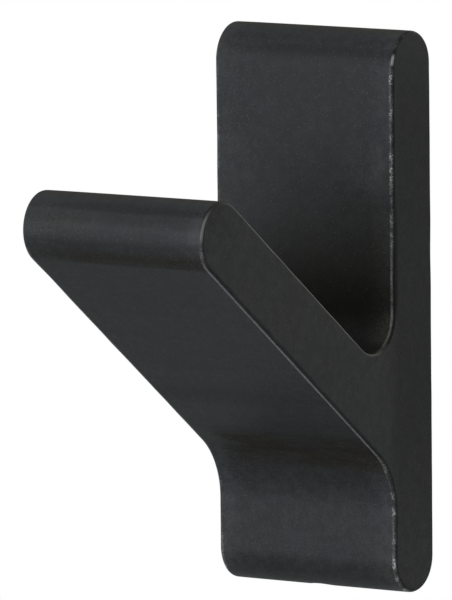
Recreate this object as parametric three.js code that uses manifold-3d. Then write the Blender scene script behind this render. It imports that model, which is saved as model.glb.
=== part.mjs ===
// Wall hook with a Y-shaped profile: an aluminium core under a black silicone coating, hung on
// a concealed wall cleat and locked from below by a set screw.
// Millimetres, +Z up. The origin is the centre of the back face, +Y points into the wall and
// the arm reaches out towards -Y. Profiles are drawn as (y, z) and extruded along X.

import * as THREE from "three";
import { mergeVertices, toCreasedNormals } from "three/addons/utils/BufferGeometryUtils.js";
import Module from "manifold-3d";

// Outside of the hook, measured over the coating
const PLATE_HEIGHT = 80;
const PLATE_THICKNESS = 10;
const HOOK_WIDTH = 30;
const ARM_THICKNESS = 10.4;
// Along the arm's centre line, from the plate's front to the centre of the round nose
const ARM_LENGTH = 53.5;
// Degrees between the arm and the wall
const ARM_ANGLE = 54;
// Where the arm's centre line leaves the plate's front, above the plate's lower end
const ARM_ROOT_HEIGHT = 24;
const CROOK_RADIUS = 5;
const UNDERARM_RADIUS = 11;
const EDGE_RADIUS = 0.5;

// Coating and core
const COATING = 1;
const BOND_GAP = 0.2;
const CORE_CHAMFER = 0.4;

// Pocket in the back of the core, and the metal left round it
const FRONT_WALL = 3;
const SIDE_WALL = 4.5;
const CLEAT_END_DISTANCE = 17;
const CLEAT_CLEARANCE = 0.3;

// Wall cleat: its upper and lower edges slope by the bevel, in degrees
const CLEAT_BEVEL = 30;
const CLEAT_CORNER = 3;
const WALL_SCREW_HOLE = 4.5;
const WALL_SCREW_HEAD = 8.8;
const WALL_SCREW_EDGE_DISTANCE = 9;

// Set screw under the cleat, with a cone point and a hexagon socket
const SET_SCREW_DIAMETER = 4;
const SET_SCREW_LENGTH = 10;
const SET_SCREW_POINT = 1.2;
const SET_SCREW_CHAMFER = 0.4;
const SOCKET_ACROSS_FLATS = 2;
const SOCKET_DEPTH = 2.5;
const THREAD_CLEARANCE = 0.15;
const ACCESS_CLEARANCE = 0.5;
const SET_SCREW_BACK_WALL = 0.8;

// Fineness of curves, and how far a cutting shape runs past the face that it opens
const ARC_STEPS = 8;
const EDGE_STEPS = 3;
const ROUND_STEPS = 32;
const CUT_OVERRUN = 1;
const WELD_DISTANCE = 1e-4;
const CREASE_ANGLE = THREE.MathUtils.degToRad(30);

// Sizes that follow from the ones above
const coreInset = COATING + BOND_GAP;
const armAngle = THREE.MathUtils.degToRad(ARM_ANGLE);
const armRoot = new THREE.Vector2(-PLATE_THICKNESS, ARM_ROOT_HEIGHT - PLATE_HEIGHT / 2);
const bevelSlope = Math.tan(THREE.MathUtils.degToRad(CLEAT_BEVEL));

const cleatThickness = PLATE_THICKNESS - coreInset - FRONT_WALL - CLEAT_CLEARANCE;
const cleatWidth = HOOK_WIDTH - 2 * (coreInset + SIDE_WALL + CLEAT_CLEARANCE);
const cleatHeight = PLATE_HEIGHT - 2 * CLEAT_END_DISTANCE;
const cleatOverhang = cleatThickness * bevelSlope;

const pocketDepth = cleatThickness + CLEAT_CLEARANCE;
const pocketWidth = cleatWidth + 2 * CLEAT_CLEARANCE;
// The hook is lifted by the cleat's overhang to come off, so the pocket is that much longer
const pocketBottom = -(cleatHeight / 2 + cleatOverhang + CLEAT_CLEARANCE);

const threadHoleRadius = SET_SCREW_DIAMETER / 2 + THREAD_CLEARANCE;
const setScrewY = -(coreInset + SET_SCREW_BACK_WALL + threadHoleRadius);
const setScrewTip = cleatEdge(setScrewY - SET_SCREW_POINT / 2, -1) - CLEAT_CLEARANCE;

const wasm = await Module();
wasm.setup();

// Height of the cleat's upper (side 1) or lower (side -1) sloping edge at depth y
function cleatEdge(y, side) {
  return side * (cleatHeight / 2 - (cleatThickness + y) * bevelSlope);
}

// The hook's outline moved inwards by an inset: five arcs, joined by the lines that touch them
function hookProfile(inset) {
  const normal = new THREE.Vector2(Math.cos(armAngle), Math.sin(armAngle));
  const along = new THREE.Vector2(-normal.y, normal.x);
  const nose = armRoot.clone().addScaledVector(along, ARM_LENGTH);
  const armHalf = ARM_THICKNESS / 2;
  const plateHalf = PLATE_THICKNESS / 2;
  const endHeight = PLATE_HEIGHT / 2 - plateHalf;

  // The fillet under the arm ends where the straight tail does
  const tailRoom = (armRoot.y + endHeight) * normal.y - armHalf;
  const underarmRadius = Math.min(UNDERARM_RADIUS, tailRoom / (1 - normal.x));
  const crookHeight = armRoot.y + (armHalf + CROOK_RADIUS * (1 + normal.x)) / normal.y;
  const underarmHeight = armRoot.y - (armHalf + underarmRadius * (1 - normal.x)) / normal.y;

  const shape = new THREE.Shape();
  shape.absarc(-plateHalf, endHeight, plateHalf - inset, 0, Math.PI, false);
  shape.absarc(armRoot.x - CROOK_RADIUS, crookHeight, CROOK_RADIUS + inset, 0, armAngle - Math.PI, true);
  shape.absarc(nose.x, nose.y, armHalf - inset, armAngle, armAngle + Math.PI, false);
  shape.absarc(armRoot.x - underarmRadius, underarmHeight, underarmRadius + inset, armAngle, 0, true);
  shape.absarc(-plateHalf, -endHeight, plateHalf - inset, Math.PI, 2 * Math.PI, false);
  return shape;
}

// A (y, z) profile extruded along X, centred, with its end edges rounded or chamfered inwards
function extrudeAcross(shape, width, edge = 0, edgeSteps = 1) {
  const geometry = new THREE.ExtrudeGeometry(shape, {
    depth: width - 2 * edge,
    curveSegments: ARC_STEPS,
    bevelEnabled: edge > 0,
    bevelThickness: edge,
    bevelSize: edge,
    bevelOffset: -edge,
    bevelSegments: edgeSteps,
  });
  geometry.translate(0, 0, edge - width / 2);
  const [x, y, z] = [0, 1, 2].map((axis) => new THREE.Vector3().setComponent(axis, 1));
  return geometry.applyMatrix4(new THREE.Matrix4().makeBasis(y, z, x));
}

// A rectangle with round corners in the (x, z) plane, extruded along Y between two depths
function extrudeBack(width, bottom, top, corner, front, back) {
  const half = width / 2;
  const shape = new THREE.Shape();
  shape.absarc(half - corner, top - corner, corner, 0, Math.PI / 2, false);
  shape.absarc(corner - half, top - corner, corner, Math.PI / 2, Math.PI, false);
  shape.absarc(corner - half, bottom + corner, corner, Math.PI, 1.5 * Math.PI, false);
  shape.absarc(half - corner, bottom + corner, corner, 1.5 * Math.PI, 2 * Math.PI, false);
  const geometry = new THREE.ExtrudeGeometry(shape, {
    depth: back - front,
    curveSegments: ARC_STEPS / 2,
    bevelEnabled: false,
  });
  return geometry.rotateX(Math.PI / 2).translate(0, back, 0);
}

// A closed (radius, height) profile turned about the Z axis
function turned(points, steps = ROUND_STEPS) {
  const profile = points.map(([radius, height]) => new THREE.Vector2(radius, height));
  return new THREE.LatheGeometry(profile, steps).rotateX(Math.PI / 2);
}

// A closed three.js geometry as a solid that can be cut and joined
function toSolid(geometry) {
  const bare = geometry.clone();
  bare.deleteAttribute("normal");
  bare.deleteAttribute("uv");
  const welded = mergeVertices(bare, WELD_DISTANCE);
  const corners = welded.index.array;
  const triVerts = [];
  for (let i = 0; i < corners.length; i += 3) {
    const [a, b, c] = corners.slice(i, i + 3);
    if (a !== b && b !== c && c !== a) {
      triVerts.push(a, b, c);
    }
  }
  const mesh = new wasm.Mesh({
    numProp: 3,
    vertProperties: welded.attributes.position.array,
    triVerts: new Uint32Array(triVerts),
  });
  return new wasm.Manifold(mesh);
}

// A named three.js mesh made from a solid
function toMesh(name, solid, material) {
  const { vertProperties, triVerts } = solid.getMesh();
  const geometry = new THREE.BufferGeometry();
  geometry.setAttribute("position", new THREE.BufferAttribute(vertProperties, 3));
  geometry.setIndex(new THREE.BufferAttribute(triVerts, 1));
  const mesh = new THREE.Mesh(toCreasedNormals(geometry, CREASE_ANGLE), material);
  mesh.name = name;
  return mesh;
}

// A plate profile with the cleat's bevels, from a depth in front to one behind
function bevelledProfile(front, back, clearance, bottom) {
  const top = (y) => cleatEdge(y, 1) + clearance * Math.hypot(1, bevelSlope);
  return new THREE.Shape([
    new THREE.Vector2(front, bottom(front)),
    new THREE.Vector2(back, bottom(back)),
    new THREE.Vector2(back, top(back)),
    new THREE.Vector2(front, top(front)),
  ]);
}

// The pocket cut into the back: the cleat with its clearance, lengthened downwards
function cleatPocket() {
  const front = -pocketDepth;
  const section = bevelledProfile(front, CUT_OVERRUN, CLEAT_CLEARANCE, () => pocketBottom);
  const top = section.getPoints().reduce((high, point) => Math.max(high, point.y), 0);
  const corner = CLEAT_CORNER + CLEAT_CLEARANCE;
  const outline = extrudeBack(pocketWidth, pocketBottom, top, corner, front, CUT_OVERRUN);
  return toSolid(extrudeAcross(section, pocketWidth)).intersect(toSolid(outline));
}

// A round hole up into the tail, from below the plate to just past the set screw's point
function tailHole(radius) {
  const bottom = -PLATE_HEIGHT / 2 - CUT_OVERRUN;
  const top = setScrewTip + CLEAT_CLEARANCE;
  const hole = turned([[0, bottom], [radius, bottom], [radius, top], [0, top]]);
  return toSolid(hole.translate(0, setScrewY, 0));
}

function hookCore(pocket) {
  const width = HOOK_WIDTH - 2 * coreInset;
  const blank = extrudeAcross(hookProfile(coreInset), width, CORE_CHAMFER);
  return toSolid(blank).subtract(pocket).subtract(tailHole(threadHoleRadius));
}

function siliconeCoating(pocket) {
  const outside = extrudeAcross(hookProfile(0), HOOK_WIDTH, EDGE_RADIUS, EDGE_STEPS);
  const inside = extrudeAcross(hookProfile(COATING), HOOK_WIDTH - 2 * COATING, CORE_CHAMFER);
  const access = tailHole(SET_SCREW_DIAMETER / 2 + ACCESS_CLEARANCE);
  return toSolid(outside).subtract(toSolid(inside)).subtract(pocket).subtract(access);
}

function wallCleat() {
  const section = bevelledProfile(-cleatThickness, 0, 0, (y) => cleatEdge(y, -1));
  const [half, front] = [cleatHeight / 2, -cleatThickness];
  const outline = extrudeBack(cleatWidth, -half, half, CLEAT_CORNER, front, 0);
  const plate = toSolid(extrudeAcross(section, cleatWidth)).intersect(toSolid(outline));

  const [hole, head] = [WALL_SCREW_HOLE / 2, WALL_SCREW_HEAD / 2];
  const countersink = [
    [0, -CUT_OVERRUN],
    [hole, -CUT_OVERRUN],
    [hole, cleatThickness - (head - hole)],
    [head + CUT_OVERRUN, cleatThickness + CUT_OVERRUN],
    [0, cleatThickness + CUT_OVERRUN],
  ];
  const offset = half - WALL_SCREW_EDGE_DISTANCE;
  return [-offset, offset].reduce((cleat, z) => {
    const cutter = turned(countersink).rotateX(Math.PI / 2).translate(0, 0, z);
    return cleat.subtract(toSolid(cutter));
  }, plate);
}

// Stands on its socket end, with its cone point up
function setScrew() {
  const radius = SET_SCREW_DIAMETER / 2;
  const point = SET_SCREW_POINT / 2;
  const blank = turned([
    [0, 0],
    [radius - SET_SCREW_CHAMFER, 0],
    [radius, SET_SCREW_CHAMFER],
    [radius, SET_SCREW_LENGTH - (radius - point)],
    [point, SET_SCREW_LENGTH],
    [0, SET_SCREW_LENGTH],
  ]);
  const corner = SOCKET_ACROSS_FLATS / Math.sqrt(3);
  const socket = turned(
    [[0, -CUT_OVERRUN], [corner, -CUT_OVERRUN], [corner, SOCKET_DEPTH], [0, SOCKET_DEPTH]],
    6,
  );
  return toSolid(blank).subtract(toSolid(socket));
}

const silicone = new THREE.MeshStandardMaterial({ color: 0x1d1e1f, roughness: 0.6, metalness: 0 });
const aluminium = new THREE.MeshStandardMaterial({ color: 0xb8bbbe, roughness: 0.45, metalness: 1 });
const zincPlate = new THREE.MeshStandardMaterial({ color: 0xa4a8ab, roughness: 0.4, metalness: 1 });
const blackOxide = new THREE.MeshStandardMaterial({ color: 0x2a2a2b, roughness: 0.5, metalness: 1 });

const pocket = cleatPocket();
const screw = toMesh("set_screw", setScrew(), blackOxide);
screw.position.set(0, setScrewY, setScrewTip - SET_SCREW_LENGTH);

const hook = new THREE.Group();
hook.name = "wall_hook";
hook.add(
  toMesh("hook_core", hookCore(pocket), aluminium),
  toMesh("silicone_coating", siliconeCoating(pocket), silicone),
  toMesh("wall_cleat", wallCleat(), zincPlate),
  screw,
);

export default hook;
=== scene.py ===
import math
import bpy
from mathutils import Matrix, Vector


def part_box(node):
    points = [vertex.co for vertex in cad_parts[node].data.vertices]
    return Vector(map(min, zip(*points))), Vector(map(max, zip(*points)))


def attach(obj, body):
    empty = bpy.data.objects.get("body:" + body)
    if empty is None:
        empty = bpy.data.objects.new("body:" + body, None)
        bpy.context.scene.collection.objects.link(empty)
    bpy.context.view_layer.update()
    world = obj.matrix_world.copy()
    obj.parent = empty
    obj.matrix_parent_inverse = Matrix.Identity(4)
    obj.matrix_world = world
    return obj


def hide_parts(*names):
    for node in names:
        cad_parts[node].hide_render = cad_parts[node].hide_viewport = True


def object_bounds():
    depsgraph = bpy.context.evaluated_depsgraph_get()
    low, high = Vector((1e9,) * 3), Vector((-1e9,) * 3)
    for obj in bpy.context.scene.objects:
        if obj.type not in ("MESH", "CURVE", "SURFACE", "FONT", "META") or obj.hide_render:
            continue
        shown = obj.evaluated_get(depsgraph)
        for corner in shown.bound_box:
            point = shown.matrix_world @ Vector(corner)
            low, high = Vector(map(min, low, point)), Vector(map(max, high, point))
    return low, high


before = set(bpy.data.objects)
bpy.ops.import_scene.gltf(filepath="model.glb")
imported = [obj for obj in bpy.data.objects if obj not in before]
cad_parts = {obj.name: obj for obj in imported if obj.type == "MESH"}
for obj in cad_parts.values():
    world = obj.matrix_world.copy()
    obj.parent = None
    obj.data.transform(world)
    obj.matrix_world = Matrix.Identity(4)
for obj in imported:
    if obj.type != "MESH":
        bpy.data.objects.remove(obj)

from types import SimpleNamespace

import bmesh
import bpy
import numpy as np
from bpy.props import FloatProperty, FloatVectorProperty, PointerProperty
from bpy.types import Operator, Panel, PropertyGroup
from mathutils import Matrix, Vector, noise

bl_info = {
    "name": "Coated wall hook",
    "version": (1, 0, 0),
    "blender": (4, 5, 0),
    "location": "View3D > Sidebar > Wall hook",
    "description": "Builds a silicone-coated wall hook with its cleat and set screw, and a studio for it",
    "category": "Object",
}

CAD_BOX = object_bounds()
COAT_LOW, COAT_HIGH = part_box("silicone_coating")
CLEAT_LOW, CLEAT_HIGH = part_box("wall_cleat")
SCREW_LOW, SCREW_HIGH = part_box("set_screw")

MM = 0.001

# Fineness of the meshes
SKIN_STEP = 0.5 * MM
SKIN_COLUMNS = 44
EDGE_STEPS = 7
CAVITY_STEP = 2.0 * MM
CORNER_STEPS = 10
ROUND_STEPS = 64
THREAD_STEPS = 48
RINGS_PER_TURN = 10
CLEAT_EDGE_ROWS = 4
MIN_ARC_STEPS = 8

# The angle that stays sharp, the distance at which points merge, and how far cutters pass a face
SMOOTH_ANGLE = math.radians(32)
MERGE_DISTANCE = 0.004 * MM
CUT_OVERRUN = 1.0 * MM

# Small forms of the coating: the edge radii between its flat columns and its side, waves per metre,
# the share by which the edge radius changes, and the shoulder by which the side is set in
FLAT_MARGIN = 1.6
WAVE_SCALE = 110.0
EDGE_WAVE_SCALE = 190.0
EDGE_CHANGE = 0.25
SIDE_SHOULDER = 0.12 * MM

# Small forms of the set screw: its thread's depth as a share of the pitch, the flanks, and its ends
THREAD_DEPTH = 0.54
FLANK_SLOPE = 2.6
ROOT_FLAT = 0.18
THREAD_START = 0.04 * MM
THREAD_STOP = 0.06 * MM
FOOT_CHAMFER = 0.4 * MM
FOOT_INSET = 0.55 * MM
POINT_CHAMFER = 0.05 * MM
AXIS_RADIUS = 0.02 * MM
DRILL_POINT = 0.4 * MM
SOCKET_CHAMFER = 0.15 * MM
SOCKET_MOUTH = 1.28

# The studio: sizes in metres, angles in degrees
FLOOR_RADIUS = 5.0
ROOM_LIGHT = 0.19
ROOM_TINT = (0.98, 1.0, 0.86)
WHITE = (1.0, 1.0, 1.0)
LIGHT_DISTANCE = 1.2
WATTS_PER_RADIANCE = 4.0

# Soft boxes: name, azimuth, elevation, width, height, radiance and tint
SOFT_BOXES = (
    ("front", -6, 8, 0.6, 0.6, 2.25, (0.93, 1.0, 1.20)),
    ("front_low", 0, -4, 0.9, 0.2, 0.75, WHITE),
    ("front_left", -36, 6, 0.6, 0.7, 0.60, (0.98, 1.0, 1.15)),
    ("left", -64, 6, 0.6, 0.7, 0.80, (0.98, 1.0, 0.80)),
    ("left_up", -60, 40, 0.6, 0.5, 0.72, (0.9, 1.0, 1.1)),
    ("left_high", -95, 48, 0.9, 0.9, 0.25, (0.9, 1.0, 1.25)),
    ("rear", 180, 15, 0.6, 0.7, 0.22, WHITE),
    ("left_rear_high", -130, 45, 0.8, 0.8, 0.10, WHITE),
    ("rear_right", 145, 8, 0.7, 0.7, 0.47, (0.96, 1.0, 1.04)),
)

# Sockets of a mix node: its factor and its two inputs
COLOUR_SOCKETS = (0, 6, 7)
VALUE_SOCKETS = (0, 2, 3)

# Zones of the coating, in millimetres, most of them for painted light and shade. Heights count from the
# centre of the arc that a zone belongs to, or from the back's middle for the plate's side and the painted
# light patch. Depths count from the plate's front, those of the nose and of the painted shade on the top
# from their arc's centre. Insets, rims and the painted crease shade count from the hook's side, spans from
# its middle plane, and the arm's two faces from the arm's middle.

# Bands: where each starts, is full, begins to end and ends
ARM_DEPTH = (-48.4, -47.0, -5.0, -1.0)
NOSE_FOOT_HEIGHT = (-4.4, -4.05, -3.15, -1.65)
NOSE_GLINT_HEIGHT = (-0.85, 1.15, 2.4, 5.2)
# The nose's crown, cheek, brow and sheen bands place painted shade and painted light on the nose.
NOSE_CROWN_HEIGHT = (2.9, 3.6, 4.4, 5.1)
NOSE_CHEEK_HEIGHT = (-0.9, 0.4, 2.8, 3.8)
NOSE_BROW_HEIGHT = (0.6, 1.4, 3.0, 3.8)
NOSE_SHEEN_HEIGHT = (-1.9, -1.1, 0.4, 1.2)
NOSE_SHEEN_SPAN = (-14.0, -8.0, 8.0, 12.0)
CROOK_HEIGHT = (-13.0, -9.0, -2.0, 15.0)
CROOK_DEPTH = (-20.0, -10.0, 1.0, 5.0)
CROOK_RIM_HEIGHT = (-14.0, -9.0, 4.0, 16.0)
# Painted light in the crook.
CROOK_GLOW_HEIGHT = (-4.7, -3.3, -0.7, 1.5)
# A painted shade strip on the side beside the crook.
SIDE_SHADE_STRIP_HEIGHT = (-1.0, 2.0, 10.0, 18.0)
SIDE_SHADE_STRIP_DEPTH = (0.25, 0.5, 0.85, 1.1)
UNDERARM_HEIGHT = (5.0, 7.6, 9.4, 12.6)
UNDERARM_DEPTH = (-14.0, -8.0, 1.0, 4.0)
PLATE_SIDE_HEIGHT = (-42.0, -12.0, 24.0, 50.0)
PLATE_FRONT_DEPTH = (-1.5, -0.5, 1.5, 3.0)
# A patch of painted light on the plate's front.
LIGHT_PATCH_HEIGHT = (15.8, 19.2, 20.6, 28.0)
LIGHT_PATCH_INSET = (-9.5, -5.2, -2.6, -0.8)
TOP_SHADE_HEIGHT = (-0.2, 0.8, 2.2, 3.2)
TOP_GLINT_HEIGHT = (0.2, 0.8, 1.5, 2.2)
WIDE_RIM = (-0.74, -0.50, -0.28, -0.05)
THIN_RIM = (-0.69, -0.54, -0.36, -0.20)
OUTER_RIM = (-0.40, -0.25, -0.07, -0.02)
# Painted shade: a dark line on the side beside the rim.
CREASE_SHADE = (-0.24, -0.16, -0.02, -0.004)

# Slopes: where each starts and ends, then its first and last value where these are not 0 and 1
SIDE_INSET = (-0.12, -0.02)
ARM_TOP = (2.8, 4.8)
ARM_UNDERSIDE = (-2.8, -4.8)
NOSE_DEPTH = (7.3, -0.7)
NOSE_HEIGHT = (-4.45, 0.55)
NOSE_FRONT_DEPTH = (3.0, 1.0)
NOSE_FOOT_DEPTH = (0.3, -1.7)
NOSE_FOOT_SPAN = (-15.0, -4.0, 0.05, 1.0)
NOSE_CROWN_SPAN = (-15.0, 4.0, 0.4, 1.0)
NOSE_CHEEK_INSET = (-3.5, -0.8)
NOSE_BROW_SPAN = (4.0, -5.0)
CROOK_INSET = (-0.5, -6.0, 0.75, 1.0)
CROOK_RIM_DEPTH = (-5.0, -1.0)
CROOK_GLOW_INSET = (-6.0, -1.0)
UNDERARM_SPAN = (-13.5, -9.0, 0.0, 1.0)
PLATE_SIDE_DEPTH = (-3.0, 2.0)
LIGHT_PATCH_SPAN = (-3.0, 3.0, 0.5, 1.0)
TOP_SHADE_DEPTH = (0.0, -2.0)
TOP_SHADE_SPAN = (-11.0, -4.0)
TAIL_HEIGHT = (15.0, 7.0)
TOP_HEIGHT = (-2.0, 1.5)
CROWN_HEIGHT = (0.0, 3.0)
UPPER_LINE_DEPTH = (-5.0, -15.0, 0.35, 1.0)
WEAR_SPAN = (-1.0, 1.0, 0.35, 1.0)
BORDER_INSET = (-4.5, -0.6, 1.0, 1.9)
SPECK_INSET = (-9.0, -0.3, 0.16, 0.62)


def length(name, description, default):
    """A size in metres that a user may change."""
    return FloatProperty(
        name=name, description=description, default=default, min=0.0,
        precision=5, subtype="DISTANCE", unit="LENGTH",
    )


def share(name, description, default):
    """A value between none and all."""
    return FloatProperty(
        name=name, description=description, default=default, min=0.0, max=1.0, subtype="FACTOR",
    )


def angle(name, description, degrees):
    """An angle, given here in degrees."""
    return FloatProperty(
        name=name, description=description, default=math.radians(degrees),
        precision=3, subtype="ANGLE", unit="ROTATION",
    )


def colour(name, description, default):
    """A linear colour."""
    return FloatVectorProperty(
        name=name, description=description, default=default, min=0.0, max=1.0, size=3, subtype="COLOR",
    )


class HookSizes(PropertyGroup):
    """Sizes of the hook over its coating, of the cleat in its back and of the set screw"""

    plate_height: length("Plate height", "Height of the plate on the wall", COAT_HIGH.z - COAT_LOW.z)
    plate_thickness: length("Plate thickness", "Thickness of the plate", 10.0 * MM)
    hook_width: length("Width", "Width of the plate and the arm", COAT_HIGH.x - COAT_LOW.x)
    arm_thickness: length("Arm thickness", "Thickness of the arm", 10.4 * MM)
    arm_length: length("Arm length", "From the plate's front to the centre of the nose", 53.5 * MM)
    arm_angle: angle("Arm angle", "Angle between the arm and the wall", 54.0)
    arm_root_height: length("Arm root height", "From the plate's lower end up to the arm", 24.0 * MM)
    crook_radius: length("Crook radius", "Rounding between the plate and the top of the arm", 5.0 * MM)
    underarm_radius: length("Underarm radius", "Rounding between the arm and the tail", 11.0 * MM)
    edge_radius: length("Edge radius", "Rounding of the coating's long edges", 0.5 * MM)
    edge_fall: length("Edge fall", "How far the coating thins out towards its edges", 0.03 * MM)
    edge_fall_width: length("Edge fall width", "Width of the strip that thins out", 4.0 * MM)
    coating: length("Coating", "Thickness of the silicone", 1.0 * MM)
    unevenness: length("Unevenness", "Depth of the coating's waves", 0.02 * MM)
    cleat_bevel: angle("Cleat bevel", "Slope of the cleat's upper and lower edge", 30.0)
    cleat_corner: length("Cleat corner", "Rounding of the cleat's corners", 3.0 * MM)
    cleat_clearance: length("Cleat clearance", "Room between the cleat and its pocket", 0.3 * MM)
    cleat_edge: length("Cleat edge", "Rounding of the cleat's edges", 0.3 * MM)
    wall_screw_hole: length("Wall screw hole", "Diameter of the cleat's holes", 4.5 * MM)
    wall_screw_head: length("Wall screw head", "Diameter of the countersinks", 8.8 * MM)
    wall_screw_edge: length("Wall screw distance", "From a hole to the cleat's near end", 9.0 * MM)
    access_hole: length("Access hole", "Diameter of the hole under the set screw", 5.0 * MM)
    thread_pitch: length("Thread pitch", "Pitch of the set screw's thread", 0.7 * MM)
    socket: length("Socket", "Width across the flats of the set screw's socket", 2.0 * MM)
    socket_depth: length("Socket depth", "Depth of the set screw's socket", 2.5 * MM)
    point: length("Point", "Diameter of the set screw's flat point", 1.2 * MM)


class HookFinish(PropertyGroup):
    """Colours and surface qualities of the hook's materials"""

    silicone: colour("Silicone", "Colour of the coating", (0.0125, 0.0130, 0.0138))
    silicone_speck: colour("Specks", "Colour of the pale specks in the coating", (0.066, 0.068, 0.072))
    silicone_warm: colour(
        "Warm silicone", "Colour of the coating's browner clouds", (0.0142, 0.0131, 0.0122),
    )
    # This colour is painted shade: the dark, brownish streaky band in the fillet under the arm, at the
    # nose's foot and in the crook.
    silicone_shade_colour: colour("Stain", "Colour of the brown streaks under the arm", (0.0098, 0.0060, 0.0008))
    # The pale rim colour is a painted highlight along the edges, partly rubbed wear.
    silicone_rim_highlight: colour("Rim", "Colour of the coating where its rims are rubbed", (0.66, 0.65, 0.64))
    silicone_roughness: share("Silicone roughness", "Middle roughness of the coating", 0.46)
    rim_roughness: share("Rim roughness", "Roughness of the coating's polished rims", 0.30)
    aluminium: colour("Aluminium", "Colour of the milled core", (0.72, 0.73, 0.74))
    zinc: colour("Zinc", "Colour of the cleat's plating", (0.55, 0.57, 0.60))
    oxide: colour("Black oxide", "Colour of the set screw", (0.030, 0.030, 0.032))
    bare_steel: colour(
        "Bare steel", "Colour where the set screw's oxide is rubbed off", (0.32, 0.31, 0.30),
    )


class StudioLook(PropertyGroup):
    """The camera, the floor and the strength of the lights"""

    azimuth: angle("Camera azimuth", "Round from the hook's front towards its right", 33.056)
    elevation: angle("Camera elevation", "Above the horizon", 7.147)
    roll: angle("Camera roll", "Tilt of the picture", -0.469)
    distance: length("Camera distance", "From the centre of the hook's back", 1.4224)
    lens: FloatProperty(
        name="Lens", description="Focal length of the camera", default=598.8, min=1.0,
        subtype="DISTANCE_CAMERA", unit="CAMERA",
    )
    aim_across: length("Aim across", "Middle of the picture, leftwards from the back's centre", 16.76 * MM)
    aim_up: length("Aim up", "Middle of the picture, upwards from the back's centre", 0.30 * MM)
    floor_drop: length("Floor drop", "From the hook's centre down to the floor", 0.2)
    floor: colour("Floor", "Colour of the floor", (0.79, 0.80, 0.83))
    brightness: FloatProperty(
        name="Brightness", description="Strength of all the lights", default=1.0, min=0.0,
    )


def add_piece(name, mesh, material, body, node):
    """Puts a finished mesh into the scene in place of a CAD node."""
    old = bpy.data.objects.get(name)
    if old is not None:
        bpy.data.objects.remove(old)
    piece = bpy.data.objects.new(name, mesh)
    bpy.context.scene.collection.objects.link(piece)
    mesh.materials.clear()
    mesh.materials.append(material)
    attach(piece, body)
    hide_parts(node)


def new_mesh(name, bm):
    """A mesh from finished bmesh data, which is freed."""
    mesh = bpy.data.meshes.new(name)
    bm.to_mesh(mesh)
    bm.free()
    return mesh


def loft(name, rings):
    """A closed mesh through rings of equally many points, with flat ends."""
    count = len(rings[0])
    bm = bmesh.new()
    loops = [[bm.verts.new(point) for point in ring] for ring in rings]
    for lower, upper in zip(loops, loops[1:]):
        for i in range(count):
            j = (i + 1) % count
            bm.faces.new((lower[i], lower[j], upper[j], upper[i]))
    bm.faces.new(loops[0][::-1])
    bm.faces.new(loops[-1])
    bmesh.ops.recalc_face_normals(bm, faces=bm.faces)
    return new_mesh(name, bm)


def cut_away(mesh, cutters):
    """A new mesh: the given one without the volumes of the cutters."""
    scene = bpy.context.scene
    target = bpy.data.objects.new("blank", mesh)
    scene.collection.objects.link(target)
    tools = []
    for cutter in cutters:
        tool = bpy.data.objects.new("cutter", cutter)
        scene.collection.objects.link(tool)
        step = target.modifiers.new("cut", "BOOLEAN")
        step.operation = "DIFFERENCE"
        step.solver = "EXACT"
        step.object = tool
        tools.append(tool)
    bpy.context.view_layer.update()
    depsgraph = bpy.context.evaluated_depsgraph_get()
    result = bpy.data.meshes.new_from_object(target.evaluated_get(depsgraph))
    for spent in [target, *tools]:
        bpy.data.objects.remove(spent)
    if not result.polygons:
        raise RuntimeError(f"cutting {mesh.name} left nothing")
    bm = bmesh.new()
    bm.from_mesh(result)
    bmesh.ops.remove_doubles(bm, verts=bm.verts, dist=MERGE_DISTANCE)
    bmesh.ops.dissolve_degenerate(bm, edges=bm.edges, dist=MERGE_DISTANCE)
    bm.to_mesh(result)
    bm.free()
    result.name = mesh.name
    return result


def smooth(mesh):
    """Smooth shading that keeps the sharp edges."""
    mesh.shade_smooth()
    mesh.set_sharp_from_angle(angle=SMOOTH_ANGLE)
    mesh.validate()
    return mesh


def hook_arcs(sizes):
    """The five arcs of the hook's side view: centre (y, z), radius, first and last angle."""
    half = sizes.plate_thickness / 2
    arm_half = sizes.arm_thickness / 2
    end = sizes.plate_height / 2 - half
    lean = sizes.arm_angle
    front = -sizes.plate_thickness
    root = sizes.arm_root_height - sizes.plate_height / 2
    nose_y = front - sizes.arm_length * math.sin(lean)
    nose_z = root + sizes.arm_length * math.cos(lean)
    crook, under = sizes.crook_radius, sizes.underarm_radius
    crook_z = root + (arm_half + crook * (1 + math.cos(lean))) / math.sin(lean)
    under_z = root - (arm_half + under * (1 - math.cos(lean))) / math.sin(lean)
    return [
        ((-half, end), half, 0.0, math.pi),
        ((front - crook, crook_z), crook, 0.0, lean - math.pi),
        ((nose_y, nose_z), arm_half, lean, lean + math.pi),
        ((front - under, under_z), under, lean, 0.0),
        ((-half, -end), half, math.pi, 2 * math.pi),
    ]


def hook_outline(sizes, step):
    """Points and outward normals (y, z) round the side view, with double steps on straight runs."""
    points, normals = [], []
    for (y, z), radius, first, last in hook_arcs(sizes):
        outward = 1 if last > first else -1
        count = max(MIN_ARC_STEPS, math.ceil(abs(last - first) * radius / step))
        for turn in np.linspace(first, last, count + 1):
            along = np.array((math.cos(turn), math.sin(turn)))
            points.append(np.array((y, z)) + radius * along)
            normals.append(outward * along)
    filled, facing = [], []
    for i, point in enumerate(points):
        j = (i + 1) % len(points)
        gap = np.linalg.norm(points[j] - point)
        count = max(1, math.ceil(gap / (2 * step)))
        for k in range(count):
            filled.append(point + (points[j] - point) * k / count)
            facing.append(normals[i])
    return np.array(filled), np.array(facing)


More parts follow.
